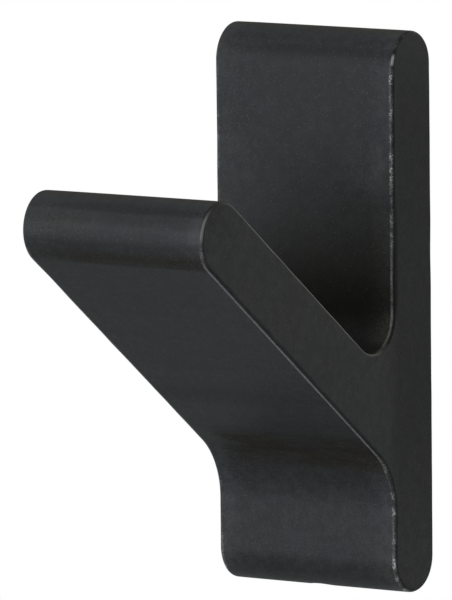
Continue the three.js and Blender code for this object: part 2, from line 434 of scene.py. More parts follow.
def skin_mesh(sizes):
    """The outside of the coating: smooth arcs, rounded edges that vary a little, and slow waves."""
    points, normals = hook_outline(sizes, SKIN_STEP)
    half = sizes.hook_width / 2
    flat = half - FLAT_MARGIN * sizes.edge_radius
    fall_start = half - sizes.edge_fall_width

    def inset_at(x, point):
        fall = max(0.0, (abs(x) - fall_start) / sizes.edge_fall_width)
        wave = noise.noise(Vector((x, *point)) * WAVE_SCALE) * 0.5 + 0.5
        return sizes.edge_fall * fall ** 2 + sizes.unevenness * wave * (1 - fall ** 4)

    def ring(x_of, inset_of):
        made = []
        for j, (point, normal) in enumerate(zip(points, normals)):
            x = x_of(j)
            y, z = point - normal * inset_of(j, x)
            made.append((x, y, z))
        return made

    def edge_rings(side):
        radii = [
            sizes.edge_radius * (1 + EDGE_CHANGE * noise.noise(Vector((side, *point)) * EDGE_WAVE_SCALE))
            for point in points
        ]
        for k in range(EDGE_STEPS + 1):
            turn = math.pi / 2 * (1 - k / EDGE_STEPS)
            yield ring(
                lambda j: side * (half - radii[j] * (1 - math.cos(turn))),
                lambda j, x: inset_at(x, points[j]) + radii[j] * (1 - math.sin(turn)),
            )
        yield ring(
            lambda j: side * half,
            lambda j, x: inset_at(x, points[j]) + radii[j] + SIDE_SHOULDER,
        )

    rings = list(edge_rings(-1))[::-1]
    for x in np.linspace(-flat, flat, SKIN_COLUMNS + 1):
        rings.append(ring(lambda j: x, lambda j, at: inset_at(at, points[j])))
    rings.extend(edge_rings(1))
    return loft("silicone_coating_skin", rings)


def cavity_mesh(sizes):
    """The room for the core inside the coating."""
    points, normals = hook_outline(sizes, CAVITY_STEP)
    inner = points - normals * sizes.coating
    half = sizes.hook_width / 2 - sizes.coating
    return loft("cavity", [[(x, y, z) for y, z in inner] for x in (-half, half)])


def rounded_frame(half_width, bottom, top, low_corner, top_corner):
    """Points (x, z) round a rectangle with rounded corners, anticlockwise from the lower right."""
    points = []
    corners = [
        (half_width - low_corner, bottom + low_corner, low_corner, -math.pi / 2),
        (half_width - top_corner, top - top_corner, top_corner, 0.0),
        (top_corner - half_width, top - top_corner, top_corner, math.pi / 2),
        (low_corner - half_width, bottom + low_corner, low_corner, math.pi),
    ]
    for x, z, radius, first in corners:
        for turn in np.linspace(first, first + math.pi / 2, CORNER_STEPS + 1):
            points.append((x + radius * math.cos(turn), z + radius * math.sin(turn)))
    return points


def cleat_half_height(sizes, y):
    """Half the cleat's height at depth y: it grows towards the front by the bevel."""
    return CLEAT_HIGH.z - (y - CLEAT_LOW.y) * math.tan(sizes.cleat_bevel)


def window_mesh(sizes):
    """The opening in the back of the coating, with a softened lip."""
    slope_share = math.tan(sizes.cleat_bevel)
    room = sizes.cleat_clearance
    low = -(CLEAT_HIGH.z + (CLEAT_HIGH.y - CLEAT_LOW.y) * slope_share + room)
    half = CLEAT_HIGH.x + room
    corner = sizes.cleat_corner + room
    lip, top_corner = 0.25 * MM, 0.6 * MM
    inside = -1.5 * sizes.coating
    rings = []
    for y, spread in [(CUT_OVERRUN, lip), (0.0, lip), (-lip, 0.0), (inside, 0.0)]:
        top = cleat_half_height(sizes, y) + room * math.hypot(1, slope_share)
        outline = rounded_frame(
            half + spread, low - spread, top + spread, corner + spread, top_corner + spread,
        )
        rings.append([(x, y, z) for x, z in outline])
    return loft("window", rings)


def turned_mesh(name, profile, place):
    """A (radius, height) profile turned about a line through place, pointing along Z."""
    rings = []
    for radius, height in profile:
        ring = []
        for i in range(ROUND_STEPS):
            turn = 2 * math.pi * (i + 0.5) / ROUND_STEPS
            ring.append(place @ Vector((radius * math.cos(turn), radius * math.sin(turn), height)))
        rings.append(ring)
    return loft(name, rings)


def access_mesh(sizes):
    """The round hole in the tail's lower end, with a softened lip."""
    radius = sizes.access_hole / 2
    lip, lip_foot, lip_top, hole_top = 0.35 * MM, 0.1 * MM, 1.2 * MM, 6.0 * MM
    low = COAT_LOW.z
    axis = (SCREW_LOW + SCREW_HIGH) / 2
    profile = [
        (radius, low + hole_top),
        (radius, low + lip_top),
        (radius + lip, low - lip_foot),
        (radius + lip, low - CUT_OVERRUN),
    ]
    return turned_mesh("access", profile, Matrix.Translation((axis.x, axis.y, 0)))


def cleat_mesh(sizes):
    """The wall cleat: bevelled ends, rounded corners and edges, two countersunk holes."""
    edge = sizes.cleat_edge
    back, front = CLEAT_HIGH.y, CLEAT_LOW.y
    thick = back - front
    back_corner = 0.4 * MM

    def edge_row(face, inward, turn):
        return face + inward * edge * (1 - math.cos(turn)), edge * (1 - math.sin(turn))

    rows = [edge_row(back, -1, turn) for turn in np.linspace(0, math.pi / 2, CLEAT_EDGE_ROWS)]
    rows += [edge_row(front, 1, turn) for turn in np.linspace(math.pi / 2, 0, CLEAT_EDGE_ROWS)]
    rings = []
    for y, cut in rows:
        tall = cleat_half_height(sizes, y) - cut
        corner = back_corner + (sizes.cleat_corner - back_corner) * ((back - y) / thick)
        outline = rounded_frame(CLEAT_HIGH.x - cut, -tall, tall, corner, corner)
        rings.append([(x, y, z) for x, z in outline])
    blank = loft("wall_cleat_plate", rings)

    hole, head = sizes.wall_screw_hole / 2, sizes.wall_screw_head / 2
    soft = 0.25 * MM
    profile = [
        (hole + soft + CUT_OVERRUN, -CUT_OVERRUN),
        (hole, soft),
        (hole, thick - (head - hole)),
        (head + CUT_OVERRUN, thick + CUT_OVERRUN),
    ]
    cutters = []
    for side in (-1, 1):
        centre = (0, back, side * (CLEAT_HIGH.z - sizes.wall_screw_edge))
        place = Matrix.Translation(centre) @ Matrix.Rotation(math.pi / 2, 4, "X")
        cutters.append(turned_mesh("countersink", profile, place))
    return smooth(cut_away(blank, cutters))


def screw_mesh(sizes):
    """The set screw, point up: rolled thread, chamfered foot and a hexagon socket."""
    centre = (SCREW_LOW + SCREW_HIGH) / 2
    low, high = SCREW_LOW.z, SCREW_HIGH.z
    outer = (SCREW_HIGH.x - SCREW_LOW.x) / 2
    pitch = sizes.thread_pitch
    depth = THREAD_DEPTH * pitch
    point = sizes.point / 2
    turns = [2 * math.pi * i / THREAD_STEPS for i in range(THREAD_STEPS)]

    def circle(radius, z):
        return [(radius * math.cos(t), radius * math.sin(t), z) for t in turns]

    def hexagon(z):
        ring = []
        for t in turns:
            flat_turn = (t + math.pi / 6) % (math.pi / 3) - math.pi / 6
            radius = sizes.socket / 2 / math.cos(flat_turn)
            ring.append((radius * math.cos(t), radius * math.sin(t), z))
        return ring

    def thread(z):
        ring = []
        cone = min(outer, point + max(0.0, high - z), outer - FOOT_CHAMFER + max(0.0, z - low))
        for t in turns:
            phase = (z / pitch - t / (2 * math.pi)) % 1.0
            flank = max(0.0, min(1.0, abs(phase - 0.5) * FLANK_SLOPE - ROOT_FLAT))
            ring.append((min(cone, outer - depth * (1 - flank)), t))
        return [(r * math.cos(t), r * math.sin(t), z) for r, t in ring]

    thread_low, thread_high = low + THREAD_START, high - THREAD_STOP
    count = math.ceil((thread_high - thread_low) / pitch * RINGS_PER_TURN)
    rings = [
        circle(AXIS_RADIUS, low + sizes.socket_depth + DRILL_POINT),
        hexagon(low + sizes.socket_depth),
        hexagon(low + SOCKET_CHAMFER),
        circle(sizes.socket / 2 * SOCKET_MOUTH, low),
        circle(outer - FOOT_INSET, low),
        *[thread(z) for z in np.linspace(thread_low, thread_high, count)],
        circle(point - POINT_CHAMFER, high),
        circle(AXIS_RADIUS, high),
    ]
    mesh = loft("set_screw_thread", rings)
    mesh.transform(Matrix.Translation((centre.x, centre.y, 0)))
    return smooth(mesh)


def add_node(tree, kind, **settings):
    """A new node with its properties set."""
    node = tree.nodes.new(kind)
    for name, value in settings.items():
        setattr(node, name, value)
    return node


def feed(tree, socket, value):
    """Links a socket to an output, or sets its value."""
    if isinstance(value, bpy.types.NodeSocket):
        tree.links.new(value, socket)
    elif socket.type == "RGBA":
        socket.default_value = (*value, 1.0)
    else:
        socket.default_value = value


def plug(tree, node, **inputs):
    """Sets or links a node's inputs, named with underscores for spaces."""
    for name, value in inputs.items():
        feed(tree, node.inputs[name.replace("_", " ")], value)
    return node


def maths(tree, operation, first, second=0.0):
    """One arithmetic step."""
    node = add_node(tree, "ShaderNodeMath", operation=operation)
    for socket, value in zip(node.inputs, (first, second)):
        feed(tree, socket, value)
    return node.outputs[0]


def ramp(tree, value, low, high, to_low=0.0, to_high=1.0):
    """A smooth step between two values."""
    node = add_node(tree, "ShaderNodeMapRange", interpolation_type="SMOOTHSTEP")
    plug(tree, node, Value=value, From_Min=low, From_Max=high, To_Min=to_low, To_Max=to_high)
    return node.outputs["Result"]


def mix_colours(tree, factor, first, second):
    """A colour between two others."""
    node = add_node(tree, "ShaderNodeMix", data_type="RGBA")
    for index, value in zip(COLOUR_SOCKETS, (factor, first, second)):
        feed(tree, node.inputs[index], value)
    return node.outputs[2]


def mix_values(tree, factor, first, second):
    """A value between two others."""
    node = add_node(tree, "ShaderNodeMix", data_type="FLOAT")
    for index, value in zip(VALUE_SOCKETS, (factor, first, second)):
        feed(tree, node.inputs[index], value)
    return node.outputs[0]


def mix_shaders(tree, factor, first, second):
    """A node that mixes the shaders of two others."""
    node = add_node(tree, "ShaderNodeMixShader")
    for socket, source in zip(node.inputs, (factor, first.outputs[0], second.outputs[0])):
        tree.links.new(source, socket)
    return node


def new_group(name, inputs, outputs):
    """An empty shader node group with named sockets, and its input and output nodes."""
    group = bpy.data.node_groups.new(name, "ShaderNodeTree")
    for label, default in inputs.items():
        socket = group.interface.new_socket(label, in_out="INPUT", socket_type="NodeSocketFloat")
        socket.default_value = default
    for label in outputs:
        group.interface.new_socket(label, in_out="OUTPUT", socket_type="NodeSocketFloat")
    return group, group.nodes.new("NodeGroupInput"), group.nodes.new("NodeGroupOutput")


def object_place(tree):
    """Where a point lies in its object's own frame."""
    return add_node(tree, "ShaderNodeTexCoord").outputs["Object"]


def noise_value(tree, **inputs):
    """Smooth noise."""
    return plug(tree, add_node(tree, "ShaderNodeTexNoise"), **inputs).outputs[0]


def grain_group():
    """Fine, even grain as in a moulded or etched skin, with a slower cloud over it."""
    name = "fine_grain"
    if name in bpy.data.node_groups:
        return bpy.data.node_groups[name]
    group, given, made = new_group(name, {"Scale": 3000.0, "Cloud Scale": 120.0}, ["Height", "Cloud"])
    place = object_place(group)
    fine, slow = given.outputs["Scale"], given.outputs["Cloud Scale"]
    plug(
        group, made,
        Height=noise_value(group, Vector=place, Scale=fine, Detail=3.0, Roughness=0.6),
        Cloud=noise_value(group, Vector=place, Scale=slow, Detail=4.0, Roughness=0.55),
    )
    return group


def speck_group():
    """Small scattered specks: a share of the cells of a scatter, each a soft dot."""
    name = "scattered_specks"
    if name in bpy.data.node_groups:
        return bpy.data.node_groups[name]
    group, given, made = new_group(name, {"Scale": 2600.0, "Share": 0.2, "Size": 0.4}, ["Mask"])
    cells = add_node(group, "ShaderNodeTexVoronoi")
    plug(group, cells, Vector=object_place(group), Scale=given.outputs["Scale"], Randomness=1.0)
    chance = add_node(group, "ShaderNodeSeparateColor")
    group.links.new(cells.outputs["Color"], chance.inputs["Color"])
    chosen = maths(group, "LESS_THAN", chance.outputs["Red"], given.outputs["Share"])
    core = maths(group, "MULTIPLY", given.outputs["Size"], 0.5)
    dot = ramp(group, cells.outputs["Distance"], given.outputs["Size"], core)
    plug(group, made, Mask=times(group, chosen, dot, chance.outputs["Green"]))
    return group


def lines_group():
    """Fine streaks: noise that is drawn out along X, or across it when the two scales are swapped."""
    name = "drawn_lines"
    if name in bpy.data.node_groups:
        return bpy.data.node_groups[name]
    group, given, made = new_group(name, {"Scale X": 50.0, "Scale YZ": 900.0}, ["Lines"])
    stretched = add_node(group, "ShaderNodeVectorMath", operation="MULTIPLY")
    factors = add_node(group, "ShaderNodeCombineXYZ")
    across, along = given.outputs["Scale X"], given.outputs["Scale YZ"]
    plug(group, factors, X=across, Y=along, Z=along)
    group.links.new(object_place(group), stretched.inputs[0])
    group.links.new(factors.outputs[0], stretched.inputs[1])
    lines = noise_value(group, Vector=stretched.outputs[0], Scale=1.0, Detail=3.0, Roughness=0.55)
    plug(group, made, Lines=lines)
    return group


def rub_group():
    """Where edges are rubbed: a mask that grows as a rounded copy of the surface turns away from it."""
    name = "rubbed_edges"
    if name in bpy.data.node_groups:
        return bpy.data.node_groups[name]
    group, given, made = new_group(name, {"Radius": 0.0003, "Patch Scale": 900.0}, ["Mask"])
    rounded = add_node(group, "ShaderNodeBevel", samples=8)
    plug(group, rounded, Radius=given.outputs["Radius"])
    face = add_node(group, "ShaderNodeNewGeometry").outputs["Normal"]
    turned = add_node(group, "ShaderNodeVectorMath", operation="DOT_PRODUCT")
    group.links.new(rounded.outputs[0], turned.inputs[0])
    group.links.new(face, turned.inputs[1])
    edge = ramp(group, turned.outputs["Value"], 0.995, 0.9)
    scale = given.outputs["Patch Scale"]
    patches = noise_value(group, Vector=object_place(group), Scale=scale, Detail=3.0)
    plug(group, made, Mask=times(group, edge, ramp(group, patches, 0.35, 0.6)))
    return group


def use_group(tree, group, **inputs):
    """A group placed in a material with its own values."""
    node = add_node(tree, "ShaderNodeGroup", node_tree=group)
    return plug(tree, node, **inputs)


def new_material(name):
    """An empty node material and its Principled shader."""
    material = bpy.data.materials.new(name)
    material.use_nodes = True
    tree = material.node_tree
    return material, tree, tree.nodes["Principled BSDF"]


def bump(tree, height, distance, strength, **inputs):
    """A surface normal from a height in metres, over another normal where one is given."""
    node = add_node(tree, "ShaderNodeBump")
    plug(tree, node, Height=height, Distance=distance, Strength=strength, **inputs)
    return node.outputs["Normal"]


def times(tree, *values):
    """The product of several values."""
    product = values[0]
    for value in values[1:]:
        product = maths(tree, "MULTIPLY", product, value)
    return product


def greatest(tree, *values):
    """The greatest of several values."""
    most = values[0]
    for value in values[1:]:
        most = maths(tree, "MAXIMUM", most, value)
    return most


def rest_of(tree, value):
    """What a value leaves of one."""
    return maths(tree, "SUBTRACT", 1.0, value)


def added(tree, value, *shares):
    """A value plus shares of others, each given as a value and its weight."""
    total = value
    for part, weight in shares:
        total = maths(tree, "ADD", total, maths(tree, "MULTIPLY", part, weight))
    return total


def scaled(tree, mask, factor):
    """One where a mask is none, a factor where it is full."""
    return ramp(tree, mask, 0.0, 1.0, 1.0, factor)


def swing(tree, value, low, high, strength):
    """One, less or more by a varying strength as a value runs from low to high."""
    return ramp(tree, value, low, high, rest_of(tree, strength), maths(tree, "ADD", strength, 1.0))


def slope(tree, value, origin, start, end, first=0.0, last=1.0):
    """A smooth step between two distances in millimetres from an origin."""
    return ramp(tree, value, origin + start * MM, origin + end * MM, first, last)


def band(tree, value, origin, marks):
    """One inside a band, fading on both sides: four distances in millimetres from an origin."""
    start, full, full_end, end = marks
    rise = slope(tree, value, origin, start, full)
    return times(tree, rise, slope(tree, value, origin, end, full_end))


def coat_zones(tree, sizes):
    """Masks for the places where the coating looks different, most of them places of painted light and
    shade.
    """
    place = add_node(tree, "ShaderNodeSeparateXYZ")
    tree.links.new(object_place(tree), place.inputs[0])
    across, deep, high = place.outputs
    aside = maths(tree, "ABSOLUTE", across)
    half, front, lean = sizes.hook_width / 2, -sizes.plate_thickness, sizes.arm_angle
    top, crook, nose, under, foot = [centre for centre, *_ in hook_arcs(sizes)]
    root = sizes.arm_root_height - sizes.plate_height / 2
    arm_middle = front * math.cos(lean) + root * math.sin(lean)
    above = added(tree, 0.0, (deep, math.cos(lean)), (high, math.sin(lean)))

    at = SimpleNamespace(
        across=across, aside=aside, deep=deep, high=high, half=half, front=front,
        nose_height=nose[1], top_height=top[1],
    )
    at.side = slope(tree, aside, half, *SIDE_INSET)
    off_side = rest_of(tree, at.side)
    at.arm = band(tree, deep, front, ARM_DEPTH)
    at.upper = times(tree, at.arm, slope(tree, above, arm_middle, *ARM_TOP))
    at.lower = times(tree, at.arm, off_side, slope(tree, above, arm_middle, *ARM_UNDERSIDE))
    at.nose = times(
        tree, slope(tree, deep, nose[0], *NOSE_DEPTH), slope(tree, high, nose[1], *NOSE_HEIGHT),
    )
    # Painted shade: a dark streaky band at the nose's foot.
    at.nose_foot = times(
        tree, off_side, band(tree, high, nose[1], NOSE_FOOT_HEIGHT),
        slope(tree, deep, nose[0], *NOSE_FOOT_DEPTH), slope(tree, across, 0.0, *NOSE_FOOT_SPAN),
    )
    on_nose = times(tree, off_side, slope(tree, deep, nose[0], *NOSE_FRONT_DEPTH))
    # Painted shade on the nose's crown and on the middle of its sheen, painted light on its cheek by the
    # rim and on its brow.
    at.nose_crown = times(
        tree, on_nose, band(tree, high, nose[1], NOSE_CROWN_HEIGHT),
        slope(tree, across, 0.0, *NOSE_CROWN_SPAN),
    )
    at.nose_cheek = times(
        tree, on_nose, band(tree, high, nose[1], NOSE_CHEEK_HEIGHT),
        slope(tree, across, half, *NOSE_CHEEK_INSET),
    )
    at.nose_brow = times(
        tree, on_nose, band(tree, high, nose[1], NOSE_BROW_HEIGHT),
        slope(tree, across, 0.0, *NOSE_BROW_SPAN),
    )
    at.nose_sheen = times(
        tree, on_nose, band(tree, high, nose[1], NOSE_SHEEN_HEIGHT),
        band(tree, across, 0.0, NOSE_SHEEN_SPAN),
    )
    # Painted shade in the crook's pocket, where the plate meets the arm.
    at.pocket = times(
        tree, off_side, band(tree, high, crook[1], CROOK_HEIGHT),
        band(tree, deep, front, CROOK_DEPTH), slope(tree, across, half, *CROOK_INSET),
    )
    # Painted light: a lighter patch low in the crook.
    at.crook_glow = times(
        tree, at.pocket, band(tree, high, crook[1], CROOK_GLOW_HEIGHT),
        slope(tree, across, half, *CROOK_GLOW_INSET),
    )
    at.crook_rim = times(
        tree, band(tree, high, crook[1], CROOK_RIM_HEIGHT), slope(tree, deep, front, *CROOK_RIM_DEPTH),
    )
    # Painted shade: a dark line beside the rim in the crook.
    at.crease = times(tree, at.crook_rim, band(tree, aside, half, CREASE_SHADE))
    # Painted shade: a darker strip on the side beside the crook.
    at.witness = times(
        tree, at.side, band(tree, deep, front, SIDE_SHADE_STRIP_DEPTH),
        band(tree, high, crook[1], SIDE_SHADE_STRIP_HEIGHT),
    )
    # Painted shade: a dark streaky band in the fillet under the arm.
    at.underarm = times(
        tree, off_side, band(tree, high, under[1], UNDERARM_HEIGHT),
        band(tree, deep, front, UNDERARM_DEPTH), slope(tree, across, 0.0, *UNDERARM_SPAN),
    )
    at.plate_side = times(
        tree, at.side, slope(tree, deep, front, *PLATE_SIDE_DEPTH),
        band(tree, high, 0.0, PLATE_SIDE_HEIGHT),
    )
    # Painted light: a lighter patch on the plate's front.
    at.smear = times(
        tree, off_side, band(tree, deep, front, PLATE_FRONT_DEPTH),
        band(tree, high, 0.0, LIGHT_PATCH_HEIGHT), band(tree, aside, half, LIGHT_PATCH_INSET),
        slope(tree, across, 0.0, *LIGHT_PATCH_SPAN),
    )
    at.top_shade = times(
        tree, off_side, band(tree, high, top[1], TOP_SHADE_HEIGHT),
        slope(tree, deep, top[0], *TOP_SHADE_DEPTH), slope(tree, across, 0.0, *TOP_SHADE_SPAN),
    )
    at.tail = slope(tree, high, foot[1], *TAIL_HEIGHT)
    at.top = slope(tree, high, top[1], *TOP_HEIGHT)
    at.crown = slope(tree, high, top[1], *CROWN_HEIGHT)
    return at


def coat_rim(tree, at):
    """The strip along the coating's edges that handling has polished, where the pale colour is painted as
    a highlight.
    """
    strips = (WIDE_RIM, THIN_RIM, OUTER_RIM)
    wide, thin, outer = [band(tree, at.aside, at.half, marks) for marks in strips]
    inner = mix_values(tree, greatest(tree, at.crook_rim, at.arm), wide, thin)
    return mix_values(tree, greatest(tree, at.upper, at.nose, at.top), inner, outer)


def rim_wear_and_glints(tree, at, grain, patches):
    """How pale the rim is painted: painted highlights, partly rubbed wear, in beads on the plate with a
    glint at its top, along the nose, in fine lines by the arm.
    """
    cloud, height = patches.outputs["Cloud"], patches.outputs["Height"]
    beads = times(
        tree,
        ramp(tree, cloud, 0.46, 0.61, 0.14, 1.0),
        ramp(tree, height, 0.47, 0.59, 0.10, 1.0),
        ramp(tree, grain.outputs["Cloud"], 0.40, 0.60, 0.50, 1.1),
        ramp(tree, at.top, 0.0, 0.6, 1.0, 0.2),
    )
    top_glint = times(tree, band(tree, at.high, at.top_height, TOP_GLINT_HEIGHT), 0.75)
    fine = (height, 0.40, 0.62)
    crook_line = times(tree, ramp(tree, *fine, 0.20, 0.55), ramp(tree, cloud, 0.38, 0.60, 0.45, 1.0))
    upper_line = times(
        tree, ramp(tree, *fine, 0.70, 1.0), slope(tree, at.deep, at.front, *UPPER_LINE_DEPTH),
    )
    under_line = ramp(tree, *fine, 0.15, 0.36)
    glint = band(tree, at.high, at.nose_height, NOSE_GLINT_HEIGHT)
    nose_line = ramp(tree, glint, 0.0, 1.0, 0.05, 0.36)
    wear_and_glint = mix_values(tree, at.crook_rim, greatest(tree, beads, top_glint), crook_line)
    wear_and_glint = mix_values(tree, at.arm, wear_and_glint, mix_values(tree, at.upper, under_line, upper_line))
    wear_and_glint = mix_values(tree, at.nose, wear_and_glint, nose_line)
    return times(tree, wear_and_glint, slope(tree, at.across, 0.0, *WEAR_SPAN))


def painted_coat_shading(tree, at, grain, patches):
    """How much lighter or darker than its plain colour the coating is painted at each place: painted light
    and shade, with random grain and clouds on top.
    """
    # Painted light: lighter by the sides but darker on the arm's underside, on the tail, on the top's
    # crown, and on the nose, more to its right; the side faces lighter, darker on the plate's side.
    border = mix_values(tree, at.lower, slope(tree, at.aside, at.half, *BORDER_INSET), 0.92)
    plain = times(tree, border, scaled(tree, at.tail, 1.4), scaled(tree, at.crown, 1.15))
    nose = ramp(tree, at.across, -at.half, at.half, 1.45, 1.95)
    side = ramp(tree, at.plate_side, 0.0, 1.0, 1.3, 0.55)
    lift = mix_values(tree, at.side, mix_values(tree, at.nose, plain, nose), side)
    smeared = times(tree, at.smear, ramp(tree, grain.outputs["Cloud"], 0.36, 0.60, 0.35, 1.0))
    # Painted shade: the crook's pocket, the crease by the rim, the strip beside the crook, the nose's
    # sheen and crown, the top. Painted light: the patch on the plate, the nose's cheek and brow, the
    # crook's glow.
    changes = (
        (at.pocket, 0.5), (at.crease, 0.35), (at.witness, 0.5), (smeared, 2.4),
        (at.nose_cheek, 1.8), (at.nose_brow, 1.4), (at.nose_sheen, 0.72), (at.nose_crown, 0.35),
        (at.crook_glow, 3.8), (at.top_shade, 0.5),
    )
    coarse = mix_values(tree, at.lower, 0.35, 0.60)
    coarse = mix_values(tree, at.side, mix_values(tree, at.nose, coarse, 0.18), 0.50)
    cloudy = mix_values(tree, at.side, mix_values(tree, at.nose, 0.30, 0.12), 0.50)
    return times(
        tree, lift, *[scaled(tree, mask, factor) for mask, factor in changes],
        swing(tree, grain.outputs["Height"], 0.35, 0.65, coarse),
        swing(tree, patches.outputs["Cloud"], 0.32, 0.68, cloudy),
    )


def silicone_material(sizes, finish):
    """Black moulded silicone: satin, with fine grain, streaks, pale specks and polished rims, and painted
    light and shade: pale rims as painted highlights, painted shade under the arm, at the nose's foot and
    in the crook, and painted lighter and darker patches.
    """
    material, tree, shader = new_material("black_silicone_skin")
    at = coat_zones(tree, sizes)
    grain = use_group(tree, grain_group(), Scale=3600.0, Cloud_Scale=150.0)
    patches = use_group(tree, grain_group(), Scale=4400.0, Cloud_Scale=760.0)
    drawn = use_group(tree, lines_group(), Scale_X=40.0, Scale_YZ=520.0).outputs["Lines"]
    wiped = use_group(tree, lines_group(), Scale_X=1500.0, Scale_YZ=70.0).outputs["Lines"]
    blotted = use_group(tree, lines_group(), Scale_X=110.0, Scale_YZ=330.0).outputs["Lines"]

    streaky = ramp(tree, maths(tree, "ADD", at.nose, at.underarm), 0.0, 1.0, 0.25, 1.0)
    streaks = times(
        tree,
        mix_values(tree, streaky, 1.0, ramp(tree, drawn, 0.3, 0.7, 0.92, 1.08)),
        mix_values(tree, at.nose, 1.0, ramp(tree, wiped, 0.3, 0.7, 0.94, 1.06)),
    )
    # Painted shade in streaks: the fillet under the arm and the nose's foot.
    streaky_shade = maths(
        tree, "ADD",
        times(tree, at.underarm, ramp(tree, blotted, 0.38, 0.55, 0.42, 1.0)),
        times(tree, at.nose_foot, ramp(tree, drawn, 0.35, 0.55, 0.3, 0.75)),
    )
    cloud = ramp(tree, grain.outputs["Cloud"], 0.35, 0.65)
    tone = mix_colours(tree, cloud, finish.silicone, finish.silicone_warm)
    # The crook's pocket is painted browner and darker as shade too.
    tone = mix_colours(tree, added(tree, streaky_shade, (at.pocket, 0.35)), tone, finish.silicone_shade_colour)
    base = add_node(tree, "ShaderNodeVectorMath", operation="SCALE")
    tree.links.new(tone, base.inputs[0])
    plug(tree, base, Scale=times(tree, painted_coat_shading(tree, at, grain, patches), streaks))

    many = slope(tree, at.aside, at.half, *SPECK_INSET)
    fewer = times(tree, many, ramp(tree, at.pocket, 0.0, 0.6, 1.0, 0.35))
    share_here = mix_values(tree, at.side, fewer, 0.15)
    specks = use_group(tree, speck_group(), Scale=4400.0, Share=share_here, Size=0.44)
    speckled = mix_colours(tree, specks.outputs["Mask"], base.outputs[0], finish.silicone_speck)
    rim = coat_rim(tree, at)
    # Pale rims: painted highlight along the edges, partly rubbed wear.
    rubbed = times(tree, rim, rim_wear_and_glints(tree, at, grain, patches))
    satin = maths(tree, "DIVIDE", finish.silicone_roughness, streaks)
    polish = finish.rim_roughness - finish.silicone_roughness
    roughness = added(
        tree, satin,
        (at.pocket, 0.30), (at.plate_side, 0.08), (streaky_shade, 0.22), (at.witness, 0.15),
        (greatest(tree, rim, at.crease), polish),
    )
    pebbled = bump(tree, grain.outputs["Height"], 0.03 * MM, 0.8)
    plug(
        tree, shader, Specular_IOR_Level=0.45, Roughness=roughness,
        Base_Color=mix_colours(tree, rubbed, speckled, finish.silicone_rim_highlight),
        Normal=bump(tree, drawn, 0.03 * MM, 0.12, Normal=pebbled),
    )
    return material


def aluminium_material(finish):
    """Milled aluminium: fine cutter lines and a faint cloud."""
    material, tree, shader = new_material("milled_aluminium")
    grain = use_group(tree, grain_group(), Scale=4000.0, Cloud_Scale=220.0)
    lines = use_group(tree, lines_group(), Scale_X=88.0, Scale_YZ=2200.0)
    cloud = ramp(tree, grain.outputs["Cloud"], 0.25, 0.75)
    dull = tuple(0.82 * part for part in finish.aluminium)
    plug(
        tree, shader, Metallic=1.0,
        Base_Color=mix_colours(tree, cloud, finish.aluminium, dull),
        Roughness=ramp(tree, lines.outputs["Lines"], 0.3, 0.7, 0.3, 0.46),
        Normal=bump(tree, lines.outputs["Lines"], 0.02 * MM, 0.6),
    )
    return material


def zinc_material(finish):
    """Zinc-plated steel: cool grey, rolled lines under the plating, brighter rubbed edges."""
    material, tree, shader = new_material("zinc_plate")
    grain = use_group(tree, grain_group(), Scale=2600.0, Cloud_Scale=260.0)
    lines = use_group(tree, lines_group(), Scale_X=75.0, Scale_YZ=1500.0)
    rubbed = use_group(tree, rub_group(), Radius=0.35 * MM, Patch_Scale=700.0)
    cloud = ramp(tree, grain.outputs["Cloud"], 0.3, 0.7)
    tinted = tuple(part * tint for part, tint in zip(finish.zinc, (0.86, 0.86, 0.80)))
    bright = tuple(min(1.0, 1.3 * part) for part in finish.zinc)
    plated = mix_colours(tree, cloud, finish.zinc, tinted)
    plug(
        tree, shader, Metallic=1.0,
        Base_Color=mix_colours(tree, rubbed.outputs["Mask"], plated, bright),
        Roughness=ramp(tree, grain.outputs["Cloud"], 0.25, 0.75, 0.28, 0.44),
        Normal=bump(tree, lines.outputs["Lines"], 0.015 * MM, 0.5),
    )
    return material


def oxide_material(finish):
    """Black-oxided steel: dark, slightly oily, with bare metal on the thread's crests."""
    material, tree, shader = new_material("black_oxide_steel")
    grain = use_group(tree, grain_group(), Scale=5200.0, Cloud_Scale=500.0)
    rubbed = use_group(tree, rub_group(), Radius=0.12 * MM, Patch_Scale=1600.0)
    plug(
        tree, shader, Metallic=0.9,
        Base_Color=mix_colours(tree, rubbed.outputs["Mask"], finish.oxide, finish.bare_steel),
        Roughness=ramp(tree, grain.outputs["Cloud"], 0.3, 0.7, 0.34, 0.5),
        Normal=bump(tree, grain.outputs["Height"], 0.008 * MM, 0.5),
    )
    return material


def floor_material(look):
    """A plain pale floor, white to the camera and see-through from below."""
    material, tree, shader = new_material("pale_floor")
    plug(tree, shader, Base_Color=look.floor, Roughness=0.9, Specular_IOR_Level=0.1)
    seen = add_node(tree, "ShaderNodeLightPath").outputs["Is Camera Ray"]
    white = plug(tree, add_node(tree, "ShaderNodeEmission"), Strength=1.0)
    under = add_node(tree, "ShaderNodeNewGeometry").outputs["Backfacing"]
    clear = add_node(tree, "ShaderNodeBsdfTransparent")
    whole = mix_shaders(tree, under, mix_shaders(tree, seen, shader, white), clear)
    tree.links.new(whole.outputs[0], tree.nodes["Material Output"].inputs["Surface"])
    return material


def studio_world(ambient):
    """An even dim room that the camera sees as white."""
    world = bpy.data.worlds.new("studio_room")
    world.use_nodes = True
    tree = world.node_tree
    room = plug(tree, tree.nodes["Background"], Color=ROOM_TINT, Strength=ambient)
    white = plug(tree, add_node(tree, "ShaderNodeBackground"), Color=WHITE, Strength=1.0)
    seen = add_node(tree, "ShaderNodeLightPath").outputs["Is Camera Ray"]
    both = mix_shaders(tree, seen, room, white)
    tree.links.new(both.outputs[0], tree.nodes["World Output"].inputs["Surface"])
    return world


def towards(azimuth, elevation):
    """The unit vector from the hook towards a direction: azimuth 0 is its front, 90 its right."""
    level = math.cos(elevation)
    return Vector((math.sin(azimuth) * level, -math.cos(azimuth) * level, math.sin(elevation)))


